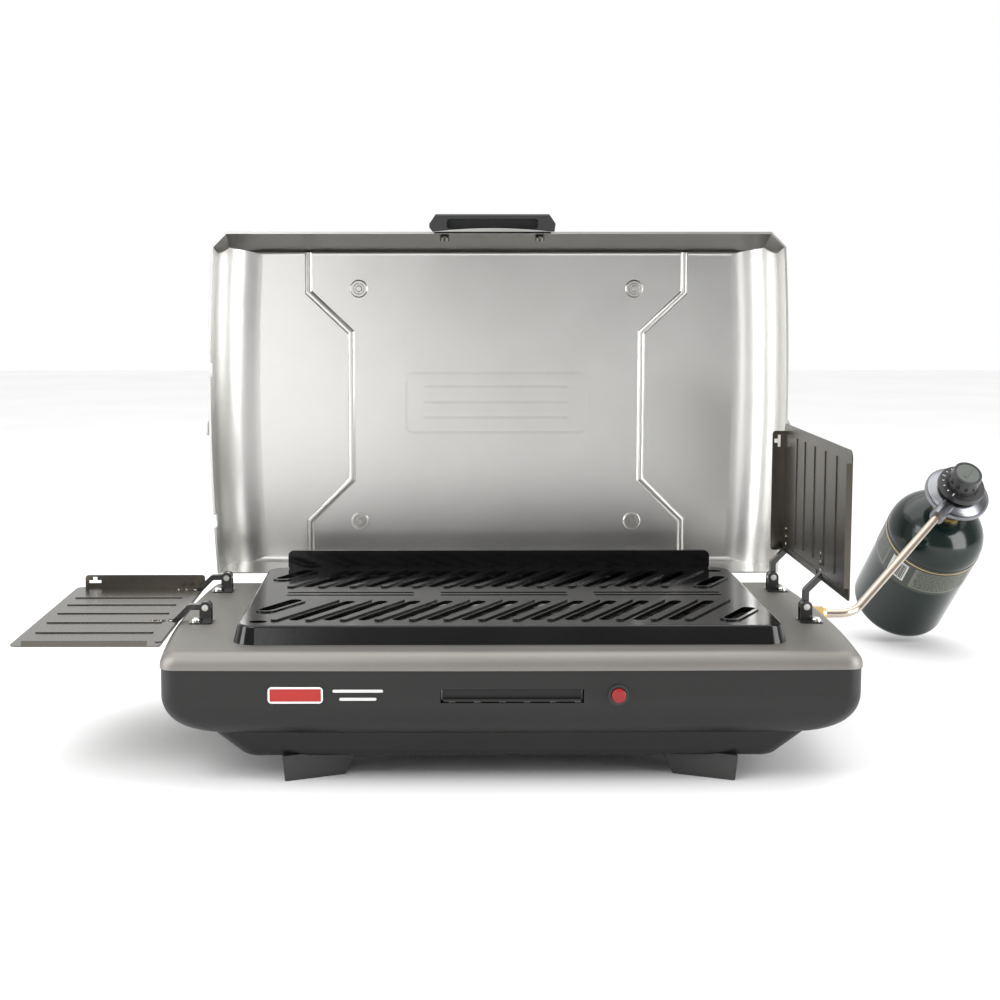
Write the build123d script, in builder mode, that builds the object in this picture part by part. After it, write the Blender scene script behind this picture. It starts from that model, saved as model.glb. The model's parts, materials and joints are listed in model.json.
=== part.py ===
"""Folding two-panel camp grill with a one-pound gas cylinder.

Origin on the table under the middle of the body, X to the right, Y to the
back, Z up, millimetres. The lid stands open, the left side table is folded
out level and the right one stands up as a wind screen.
"""

import math
import os

from build123d import *

os.makedirs("parts", exist_ok=True)

# Body
body_half_w = 264.8
body_front_y = -160.0
body_rear_y = 154.0
front_bow = 3.0
side_bow = 7.5
corner_r = 13.0
seam_z = 94.0
step_z = 38.0
belly_r = 36.0
floor_z = 18.0
deck_z = 107.0
deck_roll = 11.0
shell_t = 2.5
sheet_t = 1.2
tub_mid_y = -3.0
step_half = (233.0, 126.0)
floor_half = (208.0, 121.0)
foot_corner = (176.0, 127.0)
foot_screw = (150.0, 101.0)
foot_depth = 34.0
foot_turn = 24.0

# Front fittings
slot_half_w = 54.0
slot_z0 = 69.3
slot_z1 = 79.7
button_x = 80.0
button_z = 75.5

# Grate and firebox
grate_half_w = 211.0
grate_y0 = -124.0
grate_y1 = 146.0
grate_top_z = 121.3
rib_h = 1.3
stop_z = 138.0
opening_half_w = 203.0
opening_half_d = 127.0
opening_y = 11.0
box_floor_z = 84.0
burner_z = 95.0

# Lid, drawn open
hinge_y = 161.5
hinge_z = 108.5
rim_y = 161.5
lid_depth = 69.0
skin_y = rim_y + lid_depth
lid_z0 = 113.0
lid_z1 = 429.0
lid_draft = 15.0
side_roll = 40.0
handle_x = -6.0
leaf_x = 150.0
rivet_pitch = 20.0

# Side panels, in the frame of their hinge line
pivot_x = 246.5
pivot_z = 119.0
panel_u = 12.0
panel_r0 = 22.0
panel_r1 = 138.0
panel_y0 = -132.0
panel_y1 = 123.0
panel_t = 0.9
flange_d = 11.0
arm_ys = (-33.0, 108.0)
pin_r = 1.6

# Gas train
inlet_y = 114.0
inlet_z = 83.5
pipe_r = 3.9
gas_centre = (464.7, 280.0, 174.0)
gas_tilt = 44.0
gas_heading = -80.0
can_r = 49.2
can_length = 190.0


def save(part, name):
    """Name a finished part and write its STEP file."""
    part.label = name
    export_step(part, f"parts/{name}.step")


def wall_plane(x, y, z):
    """Upright plane facing the back, its x along X."""
    return Plane(origin=(x, y, z), x_dir=(1, 0, 0), z_dir=(0, 1, 0))


def body_outline(inset):
    """Plan outline of the body, for the line builder that is open."""
    x = body_half_w - inset
    front = body_front_y + inset
    rear = body_rear_y - inset
    middle = (front + rear) / 2
    ThreePointArc((-x, front + front_bow), (0, front), (x, front + front_bow))
    ThreePointArc((x, front + front_bow), (x + side_bow, middle), (x, rear))
    Line((x, rear), (-x, rear))
    ThreePointArc((-x, rear), (-x - side_bow, middle), (-x, front + front_bow))


def tub(inset):
    """Two-step tub form, inset all round from the outer surface."""
    radius = belly_r - inset
    belly_z = step_z + belly_r
    with BuildPart() as body:
        # belly: sections along a quarter circle
        for angle in (90, 67.5, 45, 22.5, 0):
            reach = belly_r - radius * math.cos(math.radians(angle))
            with BuildSketch(Plane.XY.offset(belly_z - radius * math.sin(math.radians(angle)))) as ring:
                with BuildLine():
                    body_outline(reach)
                make_face()
                fillet(ring.vertices(), corner_r - inset + 0.6 * (reach - inset))
        loft()
        with BuildSketch(Plane.XY.offset(belly_z)) as upper:
            with BuildLine():
                body_outline(inset)
            make_face()
            fillet(upper.vertices(), corner_r - inset)
        extrude(amount=seam_z - belly_z)
        # lower step down to the floor
        with BuildSketch(Plane.XY.offset(step_z + inset + 1.5)):
            with Locations((0, tub_mid_y)):
                RectangleRounded(2 * (step_half[0] - inset), 2 * (step_half[1] - inset), 17 - inset)
        with BuildSketch(Plane.XY.offset(floor_z + inset)):
            with Locations((0, tub_mid_y)):
                RectangleRounded(2 * (floor_half[0] - inset), 2 * (floor_half[1] - inset), 20 - inset)
        loft()
        fillet(body.faces().sort_by(Axis.Z)[0].edges(), 8 - inset)
    return body.part


def foot_centre(sx, sy):
    """Plan position of a foot's screw."""
    return (sx * foot_screw[0], tub_mid_y + sy * foot_screw[1])


FEET = ((-1, -1, "foot_front_left"), (1, -1, "foot_front_right"),
        (-1, 1, "foot_rear_left"), (1, 1, "foot_rear_right"))

tub_outer = tub(0.0)
tub_inner = tub(shell_t)

with BuildPart() as base_shell:
    add(tub_outer)
    add(tub_inner, mode=Mode.SUBTRACT)
    # tray slot, button hole, badge recess and trim bar recesses in the front
    with Locations((0, body_front_y, (slot_z0 + slot_z1) / 2)):
        Box(2 * slot_half_w, 16, slot_z1 - slot_z0, mode=Mode.SUBTRACT)
    with BuildSketch(wall_plane(button_x, body_front_y - 4, button_z)):
        Circle(6.9)
    extrude(amount=12, mode=Mode.SUBTRACT)
    with Locations((-163, -159.9, 75.4)):
        Box(42, 4, 13, mode=Mode.SUBTRACT)
    for bar_z, bar_w in ((78.6, 38.4), (72.4, 28.4)):
        with Locations((-116, -160.9, bar_z)):
            Box(bar_w, 4, 2.6, mode=Mode.SUBTRACT)
    # inlet hole in the right wall, hinge rivet holes in the back wall
    with BuildSketch(Plane(origin=(body_half_w - 12, inlet_y, inlet_z), z_dir=(1, 0, 0))):
        Circle(6.6)
    extrude(amount=30, mode=Mode.SUBTRACT)
    for side in (-1, 1):
        with BuildSketch(wall_plane(side * leaf_x, body_rear_y - 8, 86)):
            with GridLocations(rivet_pitch, 0, 2, 1):
                Circle(1.7)
        extrude(amount=12, mode=Mode.SUBTRACT)
    # air slots in the floor and the back, foot screw holes
    with BuildSketch(Plane.XY.offset(floor_z - 1)):
        with GridLocations(22, 78, 9, 2):
            SlotOverall(58, 6, rotation=90)
        with Locations(*[foot_centre(sx, sy) for sx, sy, name in FEET]):
            Circle(2.2)
    extrude(amount=shell_t + 3, mode=Mode.SUBTRACT)
    with BuildSketch(wall_plane(0, body_rear_y - 8, 76)):
        with GridLocations(16, 0, 11, 1):
            SlotOverall(16, 5, rotation=90)
    extrude(amount=12, mode=Mode.SUBTRACT)
    # stiffening ribs along the floor
    with BuildSketch(Plane.XY.offset(floor_z + shell_t - 0.2)):
        with GridLocations(250, 0, 2, 1):
            Rectangle(3, 190)
    extrude(amount=9)
save(base_shell.part, "base_shell")

with BuildPart() as bezel_cavity:
    with BuildSketch(Plane.XY.offset(seam_z)) as under:
        with BuildLine():
            body_outline(0.5)
        make_face()
        fillet(under.vertices(), corner_r - 0.5)
    extrude(amount=deck_z - sheet_t - seam_z)
    fillet(bezel_cavity.faces().sort_by(Axis.Z)[-1].edges(), deck_roll - sheet_t)

BRACKETS = [(side, y) for side in (-1, 1) for y in arm_ys]
SCREWS = [(side * 253.5, y - 10.0) for side, y in BRACKETS]

with BuildPart() as top_bezel:
    with BuildSketch(Plane.XY.offset(seam_z)) as rim:
        with BuildLine():
            body_outline(-0.8)
        make_face()
        fillet(rim.vertices(), corner_r + 0.8)
    extrude(amount=deck_z - seam_z)
    fillet(top_bezel.faces().sort_by(Axis.Z)[-1].edges(), deck_roll)
    add(bezel_cavity.part, mode=Mode.SUBTRACT)
    with BuildSketch(Plane.XY.offset(deck_z - 6)):
        with Locations((0, opening_y)):
            RectangleRounded(2 * (opening_half_w + sheet_t), 2 * (opening_half_d + sheet_t), 14)
    extrude(amount=5.5)
    with BuildSketch(Plane.XY.offset(deck_z - 12)):
        with Locations((0, opening_y)):
            RectangleRounded(2 * opening_half_w, 2 * opening_half_d, 12)
    extrude(amount=14, mode=Mode.SUBTRACT)
    with BuildSketch(Plane.XY.offset(deck_z - 4)):
        with Locations(*SCREWS):
            Circle(2.2)
    extrude(amount=6, mode=Mode.SUBTRACT)
save(top_bezel.part, "top_bezel")

with BuildPart() as firebox:
    with BuildSketch(Plane.XY.offset(box_floor_z)):
        with Locations((0, opening_y)):
            RectangleRounded(2 * (opening_half_w - 1), 2 * (opening_half_d - 1), 11)
    extrude(amount=deck_z - box_floor_z)
    with BuildSketch(Plane.XY.offset(deck_z)):
        with Locations((0, opening_y)):
            RectangleRounded(2 * (opening_half_w + 5), 2 * (opening_half_d + 5), 14)
    extrude(amount=1)
    with BuildSketch(Plane.XY.offset(box_floor_z + 1)):
        with Locations((0, opening_y)):
            RectangleRounded(2 * (opening_half_w - 2), 2 * (opening_half_d - 2), 10)
    extrude(amount=30, mode=Mode.SUBTRACT)
    # grease drain over the tray, burner tube hole, electrode hole, air holes
    with BuildSketch(Plane.XY.offset(box_floor_z - 1)):
        with Locations((0, -10)):
            RectangleRounded(84, 130, 10)
        with Locations((0, opening_y)):
            with GridLocations(310, 180, 2, 2):
                Circle(6)
    extrude(amount=4, mode=Mode.SUBTRACT)
    with BuildSketch(Plane(origin=(opening_half_w - 8, 102.5, 94), z_dir=(1, 0, 0))):
        Ellipse(10.5, 9)
    extrude(amount=14, mode=Mode.SUBTRACT)
    with BuildSketch(wall_plane(button_x, opening_y - opening_half_d - 3, 97)):
        Circle(3.4)
    extrude(amount=8, mode=Mode.SUBTRACT)
save(firebox.part, "firebox")

with BuildPart() as burner_tube:
    with BuildLine() as burner_path:
        FilletPolyline(
            (256, inlet_y, inlet_z), (230, inlet_y, inlet_z), (196, 101, burner_z),
            (150, 81, burner_z), (-150, 81, burner_z), (-150, -59, burner_z),
            (150, -59, burner_z), radius=26,
        )
    with BuildSketch(Plane(origin=burner_path.line @ 0, z_dir=burner_path.line % 0)):
        Circle(7)
        Circle(5.8, mode=Mode.SUBTRACT)
    sweep()
    with BuildSketch(Plane(origin=burner_path.line @ 1, z_dir=burner_path.line % 1)):
        Circle(7)
    extrude(amount=1.2)
    with BuildSketch(Plane.XY.offset(burner_z + 3)):
        with Locations((0, opening_y)):
            with GridLocations(15, 140, 17, 2):
                Circle(1.2)
    extrude(amount=6, mode=Mode.SUBTRACT)
save(burner_tube.part, "burner_tube")

with BuildPart() as burner_brackets:
    with BuildSketch(Plane.XY.offset(box_floor_z + 1)):
        with Locations((-100, 81), (100, -59)):
            RectangleRounded(18, 20, 3)
    extrude(amount=burner_z - 7 - box_floor_z - 1.1)
save(burner_brackets.part, "burner_brackets")

with BuildPart() as tray_rails:
    with BuildSketch(Plane.XZ.offset(150)):
        for side in (-1, 1):
            with Locations((side * 53, 76.5)):
                Rectangle(1.2, 14.9)
            with Locations((side * 51.2, 69.45)):
                Rectangle(4.8, 0.9)
    extrude(amount=-242)
save(tray_rails.part, "tray_rails")

with BuildPart() as grease_tray:
    with BuildSketch(Plane.XY.offset(70.3)):
        with Locations((0, -33.5)):
            RectangleRounded(102, 243, 4)
    extrude(amount=8.3)
    with BuildSketch(Plane.XY.offset(71.3)):
        with Locations((0, -33.5)):
            RectangleRounded(100, 241, 3)
    extrude(amount=9, mode=Mode.SUBTRACT)
    with Locations((0, -156, 74.5)):
        Box(105, 1.6, 8.4)
    with Locations((0, -158.4, 71.5)):
        Box(103, 4.8, 1.8)
save(grease_tray.part, "grease_tray")

# Push-button lighter
front_plane = Plane(origin=(button_x, 0, button_z), x_dir=(1, 0, 0), z_dir=(0, -1, 0))
with BuildPart() as igniter_housing:
    with BuildSketch(front_plane.offset(128)):
        Circle(6.6)
    extrude(amount=32)
    with BuildSketch(front_plane.offset(160)):
        Circle(7.9)
    extrude(amount=1.0)
    with BuildSketch(front_plane.offset(144)):
        Circle(5.75)
    extrude(amount=20, mode=Mode.SUBTRACT)
save(igniter_housing.part, "igniter_housing")

with BuildPart() as igniter_nut:
    with BuildSketch(front_plane.offset(151.0)):
        RegularPolygon(9.5, 6)
        Circle(6.65, mode=Mode.SUBTRACT)
    extrude(amount=4.4)
save(igniter_nut.part, "igniter_nut")

with BuildPart() as igniter_button:
    with BuildSketch(front_plane.offset(150)):
        Circle(5.4)
    extrude(amount=14.6)
    fillet(igniter_button.faces().sort_by(Axis.Y)[0].edges(), 1.2)
save(igniter_button.part, "igniter_button")

rod_plane = Plane(origin=(button_x, 0, 97), x_dir=(1, 0, 0), z_dir=(0, -1, 0))
with BuildPart() as spark_electrode:
    with BuildSketch(rod_plane.offset(78)):
        Circle(2.5)
    extrude(amount=44)
    with BuildSketch(rod_plane.offset(110)):
        Circle(3.1)
    extrude(amount=3)
    with BuildSketch(rod_plane.offset(68.5)):
        Circle(0.7)
    extrude(amount=10)
save(spark_electrode.part, "spark_electrode")

with BuildPart() as igniter_lead:
    with BuildLine() as lead_path:
        Spline((button_x, -127.9, button_z), (button_x + 9, -122.5, 80), (button_x + 9, -130, 92),
               (button_x, -122.1, 97), tangents=((0, 1, 0), (0, 1, 0)))
    with BuildSketch(Plane(origin=lead_path.line @ 0, z_dir=lead_path.line % 0)):
        Circle(1.1)
    sweep()
save(igniter_lead.part, "igniter_lead")

# Front badge and trim bars
with BuildPart() as front_badge:
    with BuildSketch(Plane.XZ.offset(157.9)):
        with Locations((-163, 75.4)):
            RectangleRounded(41.4, 12.4, 3)
    extrude(amount=1.3)
    with BuildSketch(Plane.XZ.offset(159.2)):
        with Locations((-163, 75.4)):
            RectangleRounded(41.4, 12.4, 3)
            RectangleRounded(38.6, 9.6, 2, mode=Mode.SUBTRACT)
    extrude(amount=0.5)
save(front_badge.part, "front_badge")

with BuildPart() as trim_bars:
    with BuildSketch(Plane.XZ.offset(158.9)):
        with Locations((-116, 78.6)):
            SlotOverall(38, 2.2)
        with Locations((-116, 72.4)):
            SlotOverall(28, 2.2)
    extrude(amount=0.9)
save(trim_bars.part, "trim_bars")

# Feet: raked wedges screwed under the tub, turned towards its corners
for sx, sy, name in FEET:
    face_dir = Vector(-sx, 0, 0).rotate(Axis.Z, sx * sy * foot_turn)
    corner = (sx * foot_corner[0], tub_mid_y + sy * foot_corner[1], 0)
    face_plane = Plane(origin=corner, x_dir=face_dir, z_dir=face_dir.cross(Vector(0, 0, 1)))
    with BuildPart() as foot:
        with BuildSketch(face_plane) as wedge:
            with BuildLine():
                Polyline((0, floor_z + 2), (61, floor_z + 2), (52, 0), (2, 0), close=True)
            make_face()
            fillet(wedge.vertices().group_by(Axis.Y)[0], 1.5)
        extrude(amount=foot_depth, dir=(0, -sy, 0))
        add(tub_outer, mode=Mode.SUBTRACT)
        with BuildSketch():
            with Locations(foot_centre(sx, sy)):
                Circle(5)
        extrude(amount=11, mode=Mode.SUBTRACT)
        with BuildSketch():
            with Locations(foot_centre(sx, sy)):
                Circle(2.2)
        extrude(amount=25, mode=Mode.SUBTRACT)
    save(foot.part, name)

with BuildPart() as foot_screws:
    with BuildSketch(Plane.XY.offset(7.6)):
        with Locations(*[foot_centre(sx, sy) for sx, sy, name in FEET]):
            Circle(4.4)
            Rectangle(5, 1, mode=Mode.SUBTRACT)
    extrude(amount=1)
    with BuildSketch(Plane.XY.offset(8.6)):
        with Locations(*[foot_centre(sx, sy) for sx, sy, name in FEET]):
            Circle(4.4)
    extrude(amount=2.4)
    with BuildSketch(Plane.XY.offset(11)):
        with Locations(*[foot_centre(sx, sy) for sx, sy, name in FEET]):
            Circle(2)
    extrude(amount=14)
save(foot_screws.part, "foot_screws")

# Cooking grate: skirted plate with two rows of slanted slots and ribs
grate_mid_y = (grate_y0 + grate_y1) / 2
grate_d = grate_y1 - grate_y0


def grate_block(top_z, inset):
    """Tapered block of the grate's outside form, inset all round."""
    with BuildPart() as block:
        with BuildSketch(Plane.XY.offset(deck_z)):
            with Locations((0, grate_mid_y)):
                RectangleRounded(2 * (grate_half_w + 4 - inset), grate_d + 8 - 2 * inset, 18 - inset)
        with BuildSketch(Plane.XY.offset(top_z)):
            with Locations((0, grate_mid_y)):
                RectangleRounded(2 * (grate_half_w - inset), grate_d - 2 * inset, 14 - inset)
        loft()
    return block.part


row_y = (-62.0, 84.0)
slot_pitch = 27.0
slot_len = 92.0
slot_w = 9.5
lean = 62.0

with BuildPart() as cooking_grate:
    add(grate_block(grate_top_z, 0))
    fillet(cooking_grate.faces().sort_by(Axis.Z)[-1].edges(), 2.2)
    add(grate_block(grate_top_z - 3, 2.8), mode=Mode.SUBTRACT)
    for y in row_y:
        with BuildSketch(Plane.XY.offset(grate_top_z - 5)):
            with Locations((0, y)):
                with GridLocations(slot_pitch, 0, 12, 1):
                    SlotOverall(slot_len, slot_w, rotation=lean)
        extrude(amount=8, mode=Mode.SUBTRACT)
        with BuildSketch(Plane.XY.offset(grate_top_z - 0.3)):
            with Locations((0, y)):
                with GridLocations(slot_pitch, 0, 13, 1):
                    SlotOverall(slot_len + 6, 6, rotation=lean)
        extrude(amount=rib_h + 0.3)
        # shorter slots with raised rims at the row's ends
        for rim, cut, start, rise in ((6, Mode.ADD, -0.3, 1.4), (0, Mode.SUBTRACT, -5, 8)):
            with BuildSketch(Plane.XY.offset(grate_top_z + start)):
                with Locations((-184, y + 18), (184, y - 18)):
                    SlotOverall(54 + rim, 11 + rim, rotation=lean)
            extrude(amount=rise, mode=cut)
    # central land with two cross slots and rear stop bar
    with BuildSketch(Plane.XY.offset(grate_top_z - 5)):
        with Locations((0, grate_mid_y)):
            with GridLocations(130, 12, 3, 2):
                SlotOverall(108, 5)
        with Locations((-196, grate_y0 + 16), (196, grate_y1 - 22)):
            Ellipse(7, 5)
    extrude(amount=8, mode=Mode.SUBTRACT)
    with BuildSketch(Plane.XZ.offset(-(grate_y1 - 1.5))):
        with Locations((0, (grate_top_z - 2 + stop_z) / 2)):
            RectangleRounded(388, stop_z - grate_top_z + 2, 5)
    extrude(amount=5)
save(cooking_grate.part, "cooking_grate")

# Lid: pressed shell, open to the front as it stands


def lid_block(inset, front_y, bottom_inset):
    """Solid of the lid's form, inset from its outer skin."""
    back = skin_y - inset
    low = lid_z0 + bottom_inset
    radius = side_roll - inset
    bend = radius * (1 - math.sqrt(0.5))
    rise = lid_draft / lid_depth
    with BuildPart() as block:
        for height, half in ((low, 261.5), (290, 267.5), (lid_z1 + 2, 262)):
            w = half - inset
            with BuildSketch(Plane.XY.offset(height)):
                with BuildLine():
                    Line((-w, front_y), (-w, back - radius))
                    ThreePointArc((-w, back - radius), (-w + bend, back - bend), (-w + radius, back))
                    Line((-w + radius, back), (w - radius, back))
                    ThreePointArc((w - radius, back), (w - bend, back - bend), (w, back - radius))
                    Line((w, back - radius), (w, front_y))
                    Line((w, front_y), (-w, front_y))
                make_face()
        loft()
        # side view of the pressing: drafted front wall, rounded bends to the skin
        with BuildSketch(Plane.YZ) as side_view:
            with BuildLine():
                Polyline((front_y - 5, low), (back, low),
                         (back, lid_z1 - inset - rise * (back - rim_y)),
                         (front_y - 5, lid_z1 - inset + rise * (rim_y - front_y + 5)), close=True)
            make_face()
            fillet(side_view.vertices().group_by(Axis.X)[-1], 6 - inset)
        extrude(amount=300, both=True, mode=Mode.INTERSECT)
        for side in (-1, 1):
            split(bisect_by=Plane(origin=(side * (250 - 0.6 * inset), rim_y, lid_z1 - 0.6 * inset),
                                  z_dir=(side, 0.15, 1)), keep=Keep.BOTTOM)
    return block.part


lid_outer = lid_block(0, rim_y, 0)
lid_inner = lid_block(sheet_t, rim_y - 5, sheet_t)
lid_hem = lid_block(-0.8, rim_y, 0)

skin_in = Plane(origin=(0, skin_y - sheet_t, 0), x_dir=(1, 0, 0), z_dir=(0, -1, 0))
rib_outer_x = 180.0
rib_inner_x = 139.5
rib_zs = (374.0, 335.5, 193.5, 153.5)


def rib_line(side):
    """Stepped rib on one half of the skin, for the line builder that is open."""
    Polyline((side * rib_outer_x, lid_z1 - 17), (side * rib_outer_x, rib_zs[0]),
             (side * rib_inner_x, rib_zs[1]), (side * rib_inner_x, rib_zs[2]),
             (side * rib_outer_x, rib_zs[3]), (side * rib_outer_x, lid_z0 + 3))


handle_y = rim_y + 12
HANDLE_SCREWS = [(handle_x + side * 44, handle_y) for side in (-1, 1)]
DIMPLES = [(side * 132, z) for side in (-1, 1) for z in (377.5, 153.0)]

with BuildPart() as rib_bars:
    with BuildLine(skin_in.offset(-0.9)) as rib_path:
        rib_line(-1)
    with BuildSketch(Plane(origin=rib_path.line @ 0, x_dir=(1, 0, 0), z_dir=rib_path.line % 0)):
        Ellipse(3.6, 2.9)
    sweep(transition=Transition.RIGHT)
    split(bisect_by=Plane.XZ.offset(-(skin_y - 0.7)), keep=Keep.TOP)
    mirror(about=Plane.YZ)

with BuildPart() as lid_shell:
    add(lid_hem)
    with BuildSketch(Plane.XZ.offset(-(rim_y + 4.5))):
        Rectangle(700, 1200)
    extrude(amount=-100, mode=Mode.SUBTRACT)
    add(lid_outer)
    add(lid_inner, mode=Mode.SUBTRACT)
    # stepped ribs, dimples and a plain embossed frame, raised to the inside
    add(rib_bars.part)
    for side in (-1, 1):
        with BuildSketch(skin_in.offset(0.5)):
            with BuildLine():
                rib_line(side)
            trace(line_width=3.2)
        extrude(amount=-6, mode=Mode.SUBTRACT)
    with BuildSketch(skin_in.offset(-0.5)):
        with Locations(*DIMPLES):
            Circle(9.0)
    extrude(amount=2.3, taper=35)
    with BuildSketch(skin_in.offset(1.8)):
        with Locations(*DIMPLES):
            Circle(5.6)
    extrude(amount=-1.5, taper=30, mode=Mode.SUBTRACT)
    with BuildSketch(skin_in.offset(0.2)):
        with Locations(*DIMPLES):
            Circle(3.4)
    extrude(amount=2.2, taper=25)
    for rise, spare in ((0.8, 0), (1.6, 0.9), (2.3, 1.8)):
        with BuildSketch(skin_in.offset(-0.5)):
            with Locations((0, 266)):
                RectangleRounded(183 - 2 * spare, 63 - 2 * spare, 12 - spare)
                RectangleRounded(172 + 2 * spare, 52 + 2 * spare, 7 + spare, mode=Mode.SUBTRACT)
                with GridLocations(0, 15, 1, 3):
                    SlotOverall(142 - 2 * spare, 7 - 2 * spare)
        extrude(amount=0.5 + rise)
    # notches that clear the left table's arms
    for y in arm_ys:
        with Locations((-262, rim_y, hinge_z + hinge_y - y)):
            Box(24, 2 * 13.2, 12, mode=Mode.SUBTRACT)
    # handle screw holes and hinge rivet holes
    with BuildSketch(Plane.XY.offset(lid_z1 - 14)):
        with Locations(*HANDLE_SCREWS):
            Circle(2.1)
    extrude(amount=20, mode=Mode.SUBTRACT)
    with BuildSketch(Plane.XY.offset(lid_z0 - 3)):
        with Locations((-leaf_x, rim_y + 20), (leaf_x, rim_y + 20)):
            with GridLocations(rivet_pitch, 0, 2, 1):
                Circle(1.7)
    extrude(amount=8, mode=Mode.SUBTRACT)
save(lid_shell.part, "lid_shell")

# Lid handle: hollow-backed grip on the front wall
with BuildPart() as lid_handle:
    with BuildSketch(Plane.XZ.offset(-(handle_y - 10))):
        with BuildLine():
            Polyline(*[(handle_x + x, z) for x, z in ((-52, 446), (52, 446), (58, 437), (57, 430.1),
                                                     (-55, 430.1), (-58, 434), (-58, 437))], close=True)
        make_face()
    extrude(amount=-20)
    fillet(lid_handle.edges().filter_by(Axis.X).group_by(Axis.Z)[-1], 3)
    with BuildSketch(Plane.XZ.offset(-(handle_y - 11))):
        with Locations((handle_x, 437)):
            RectangleRounded(84, 9, 3)
    extrude(amount=-15, mode=Mode.SUBTRACT)
    with BuildSketch(Plane.XY.offset(420)):
        with Locations(*HANDLE_SCREWS):
            Circle(2.1)
    extrude(amount=12.6, mode=Mode.SUBTRACT)
save(lid_handle.part, "lid_handle")

with BuildPart() as handle_washers:
    with BuildSketch(Plane.XY.offset(430.1)):
        with Locations(*HANDLE_SCREWS):
            Circle(6)
            Circle(2.1, mode=Mode.SUBTRACT)
    extrude(amount=-10)
    add(lid_outer, mode=Mode.SUBTRACT)
save(handle_washers.part, "handle_washers")

head_z = lid_z1 - sheet_t - lid_draft / lid_depth * 12 - 2.9
with BuildPart() as handle_screws:
    with BuildSketch(Plane.XY.offset(head_z)):
        with Locations(*HANDLE_SCREWS):
            Circle(2.0)
    extrude(amount=431.5 - head_z)
    with BuildSketch(Plane.XY.offset(head_z)):
        with Locations(*HANDLE_SCREWS):
            Circle(4.2)
            Rectangle(1, 5, mode=Mode.SUBTRACT)
    extrude(amount=-1)
    with BuildSketch(Plane.XY.offset(head_z)):
        with Locations(*HANDLE_SCREWS):
            Circle(4.2)
    extrude(amount=1.9)
save(handle_screws.part, "handle_screws")

# Small side lugs on the lid's rim that the tables' slots face
for side, name in ((-1, "lid_lug_left"), (1, "lid_lug_right")):
    with BuildPart() as lug:
        with BuildSketch(Plane.YZ.offset(side * 269.6)):
            with Locations((rim_y + 13, 249)):
                RectangleRounded(12, 15, 2)
                Circle(1.7, mode=Mode.SUBTRACT)
            with Locations((rim_y + 4.5, 249)):
                Rectangle(7, 5)
            with Locations((rim_y + 2.2, 249)):
                RectangleRounded(3, 11, 1)
        extrude(amount=side * 1.4)
    save(lug.part, name)

# Lid hinges: base leaf, lid leaf, pin and rivets
knuckle_r = 3.2
for side, name in ((-1, "left"), (1, "right")):
    mid_x = side * leaf_x
    with BuildPart() as base_leaf:
        with BuildSketch(Plane.YZ.offset(mid_x - 24)):
            with Locations((body_rear_y + 1.9, 90)):
                Rectangle(1.4, 24)
            with BuildLine():
                Polyline((body_rear_y + 1.2, 102), (body_rear_y + 2.6, 101.4),
                         (hinge_y + 1.6, hinge_z - 2.2), (hinge_y - 2.2, hinge_z - 1.5), close=True)
            make_face()
            with Locations((hinge_y, hinge_z)):
                Circle(knuckle_r)
                Circle(1.65, mode=Mode.SUBTRACT)
        extrude(amount=48)
        with Locations((mid_x, hinge_y, hinge_z - 0.5)):
            Box(17, 12, 10.6, mode=Mode.SUBTRACT)
        with BuildSketch(wall_plane(mid_x, body_rear_y - 2, 86)):
            with GridLocations(rivet_pitch, 0, 2, 1):
                Circle(1.7)
        extrude(amount=8, mode=Mode.SUBTRACT)
    save(base_leaf.part, f"hinge_base_{name}")
    with BuildPart() as lid_leaf:
        with BuildSketch(Plane.YZ.offset(mid_x - 8)):
            with BuildLine():
                Polyline((hinge_y - 1.5, hinge_z + 2.4), (hinge_y + 2.6, hinge_z + 0.6),
                         (hinge_y + 7, lid_z0 - 1.4), (hinge_y + 7, lid_z0 - 0.05),
                         (hinge_y + 2, lid_z0 - 0.9), close=True)
            make_face()
            with Locations((hinge_y, hinge_z)):
                Circle(knuckle_r)
                Circle(1.65, mode=Mode.SUBTRACT)
        extrude(amount=16)
        with BuildSketch(Plane.XY.offset(lid_z0 - 1.4)):
            with Locations((mid_x, hinge_y + 18)):
                RectangleRounded(34, 23, 3)
                with GridLocations(rivet_pitch, 0, 2, 1):
                    with Locations((0, 2)):
                        Circle(1.7, mode=Mode.SUBTRACT)
        extrude(amount=1.4)
    save(lid_leaf.part, f"hinge_leaf_{name}")

with BuildPart() as hinge_pins:
    for side in (-1, 1):
        with BuildSketch(Plane.YZ.offset(side * leaf_x - 25)):
            with Locations((hinge_y, hinge_z)):
                Circle(1.6)
        extrude(amount=50)
        for end_x in (side * leaf_x - 26, side * leaf_x + 25):
            with BuildSketch(Plane.YZ.offset(end_x)):
                with Locations((hinge_y, hinge_z)):
                    Circle(2.6)
            extrude(amount=1)
save(hinge_pins.part, "hinge_pins")

with BuildPart() as base_rivets:
    for side in (-1, 1):
        back_plane = wall_plane(side * leaf_x, 0, 86)
        with BuildSketch(back_plane.offset(body_rear_y - 4.5)):
            with GridLocations(rivet_pitch, 0, 2, 1):
                Circle(1.6)
        extrude(amount=8.6)
        with BuildSketch(back_plane.offset(body_rear_y + 2.65)):
            with GridLocations(rivet_pitch, 0, 2, 1):
                Circle(3.2)
        extrude(amount=1.5, taper=25)
        with BuildSketch(back_plane.offset(body_rear_y - 4.9)):
            with GridLocations(rivet_pitch, 0, 2, 1):
                Circle(3.0)
        extrude(amount=2.0)
save(base_rivets.part, "base_rivets")

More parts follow.
